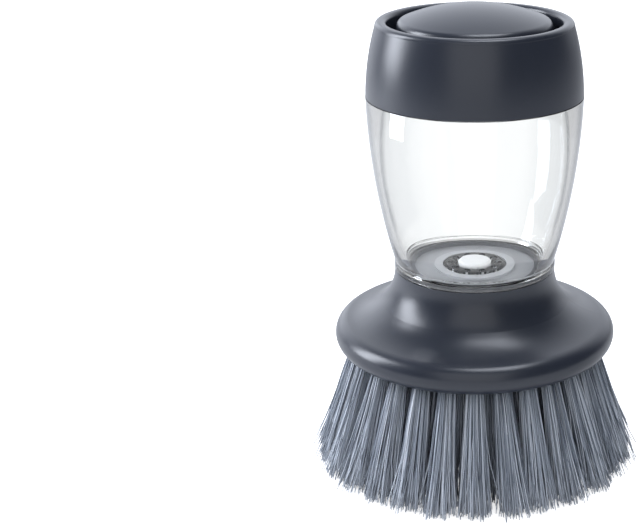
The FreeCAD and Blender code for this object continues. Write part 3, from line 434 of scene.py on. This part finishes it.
studio = {
    "roomLevel": 0.04, "backLevel": 1.6, "fillLevel": 0.38, "insideLevel": 2.55, "seenLevel": 1.0,
    "turnFrom": 0.4, "turnTo": 1.0, "turnRise": 0.3, "bounced": 0.5,
    "tint": "#f0f5ff", "seenTint": "#ffffff"}
world = bpy.data.worlds.new("studio")
scene.world = world
tree = newTree(world)
path = addNode(tree, "ShaderNodeLightPath")
ray = addNode(tree, "ShaderNodeTexCoord")
split = addNode(tree, "ShaderNodeSeparateXYZ", {}, {"Vector": (ray, "Generated")})
# the backdrop sweeps up over the part
sweep = addNode(tree, "ShaderNodeMath", {"operation": "MULTIPLY_ADD"}, {
    0: (split, "Z"), 1: studio["turnRise"], 2: (split, "Y")})
backdrop = addNode(tree, "ShaderNodeMapRange", {"interpolation_type": "SMOOTHSTEP"}, {
    "Value": (sweep, 0), "From Min": studio["turnFrom"], "From Max": studio["turnTo"],
    "To Min": studio["roomLevel"], "To Max": studio["backLevel"]})
# painted shade: the backdrop seen through the tank dims with each turn inside its wall
wall = paintedWallShade(tree, path)
# light that falls through the tank's wall on the pieces inside it
inside = addNode(tree, "ShaderNodeMath", {"operation": "GREATER_THAN"}, {
    0: (path, "Diffuse Depth"), 1: studio["bounced"]})
throughGlass = addNode(tree, "ShaderNodeMix", {"data_type": "FLOAT"}, {
    0: (inside, 0), 2: (wall, 0), 3: studio["insideLevel"]})
level = addNode(tree, "ShaderNodeMix", {"data_type": "FLOAT"}, {
    0: (path, "Is Glossy Ray"), 2: studio["fillLevel"], 3: (backdrop, "Result")})
room = addNode(tree, "ShaderNodeBackground", {}, {"Color": linear(studio["tint"]), "Strength": (level, 0)})
level = addNode(tree, "ShaderNodeMix", {"data_type": "FLOAT"}, {
    0: (path, "Is Camera Ray"), 2: (throughGlass, 0), 3: studio["seenLevel"]})
seen = addNode(tree, "ShaderNodeBackground", {}, {"Color": linear(studio["seenTint"]), "Strength": (level, 0)})
direct = addNode(tree, "ShaderNodeMath", {"operation": "MAXIMUM"}, {
    0: (path, "Is Camera Ray"), 1: (path, "Is Transmission Ray")})
light = addNode(tree, "ShaderNodeMixShader", {}, {0: (direct, 0), 1: (room, 0), 2: (seen, 0)})
addNode(tree, "ShaderNodeOutputWorld", {}, {"Surface": (light, 0)})
world.cycles.sampling_method = "NONE"  # its level depends on the kind of ray
print("floor and world ready")


# Lamps, in metres; the back panel would show as a white patch in the clear tank

lamps = {
    "left_softbox": {
        "at": (-0.645, 0.08, 0.34), "aim": (0, 0, 0.07), "size": (0.28, 0.52),
        "watts": 6.4, "colour": "#f0f5ff", "showsInTank": True},
    "left_back_panel": {
        "at": (-0.42, 0.60, 0.22), "aim": (0, 0, 0.07), "size": (0.45, 0.5),
        "watts": 0.7, "colour": "#f0f5ff", "showsInTank": False},
    "top_softbox": {
        "at": (0.12, 0.0, 0.9), "aim": (0, 0, 0.05), "size": (0.4, 0.4),
        "watts": 4.4, "colour": "#f0f5ff", "showsInTank": True},
    "front_panel": {
        "at": (-0.02, -0.8, 0.5), "aim": (0, 0, 0.07), "size": (0.9, 1.0),
        "watts": 3.1, "colour": "#f8faff", "showsInTank": True},
}
for name, lamp in lamps.items():
    data = bpy.data.lights.new(name, "AREA")
    data.shape = "RECTANGLE"
    data.size, data.size_y = lamp["size"]
    data.energy = lamp["watts"]
    data.color = linear(lamp["colour"])[:3]
    panel = bpy.data.objects.new(name, data)
    panel.location = lamp["at"]
    panel.rotation_euler = (Vector(lamp["aim"]) - Vector(lamp["at"])).to_track_quat("-Z", "Y").to_euler()
    panel.visible_camera = False
    panel.visible_transmission = lamp["showsInTank"]
    scene.collection.objects.link(panel)
print("lamps:", len(lamps))


# Camera: above the bristles, looking down at the tank, the part to the right of the middle

cameraPlace = {
    "at": (0, -0.3708, 0.1894), "tilt": 69.606, "lens": 85.65, "sensor": 36.0, "shift": -0.2417, "near": 0.01}
cameraData = bpy.data.cameras.new("camera")
cameraData.sensor_width = cameraPlace["sensor"]
cameraData.lens = cameraPlace["lens"]
cameraData.shift_x = cameraPlace["shift"]
cameraData.clip_start = cameraPlace["near"]
camera = bpy.data.objects.new("camera", cameraData)
camera.location = cameraPlace["at"]
camera.rotation_euler = (math.radians(cameraPlace["tilt"]), 0, 0)
scene.collection.objects.link(camera)
scene.camera = camera

scene.view_settings.view_transform = "Standard"
print("scene ready")
